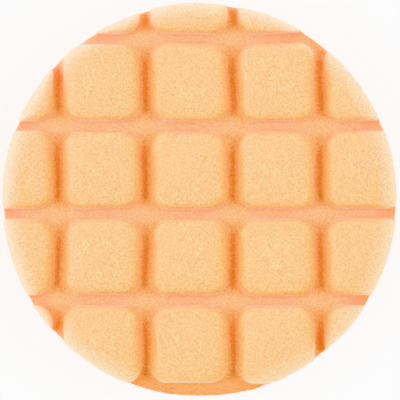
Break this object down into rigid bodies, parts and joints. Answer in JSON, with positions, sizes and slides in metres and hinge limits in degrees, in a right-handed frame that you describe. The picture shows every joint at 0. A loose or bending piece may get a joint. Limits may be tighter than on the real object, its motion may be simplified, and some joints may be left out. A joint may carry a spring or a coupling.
{
  "type": "polishing pad",
  "caption": "Round foam polishing pad with a waffle face of rounded square blocks and a flat hook-and-loop back, for a machine polisher.",
  "frame": {"origin": "centre of the loop face, at the tips of the loops, which the pad stands on", "axes": "+Z through the pad towards the waffle face, +X and +Y along the two directions of the grooves"},
  "size_m": [0.15, 0.15, 0.03],
  "materials": {
    "foam": "matte open-cell foam",
    "film": "satin",
    "binder": "matte",
    "cloth": "matte knit",
    "pile": "fuzzy brushed loops"
  },
  "bodies": {
    "root": {"waffle_foam": "foam", "adhesive_film": "film", "binder_coat": "binder", "ground_cloth": "cloth", "loop_pile": "pile"}
  },
  "joints": []
}
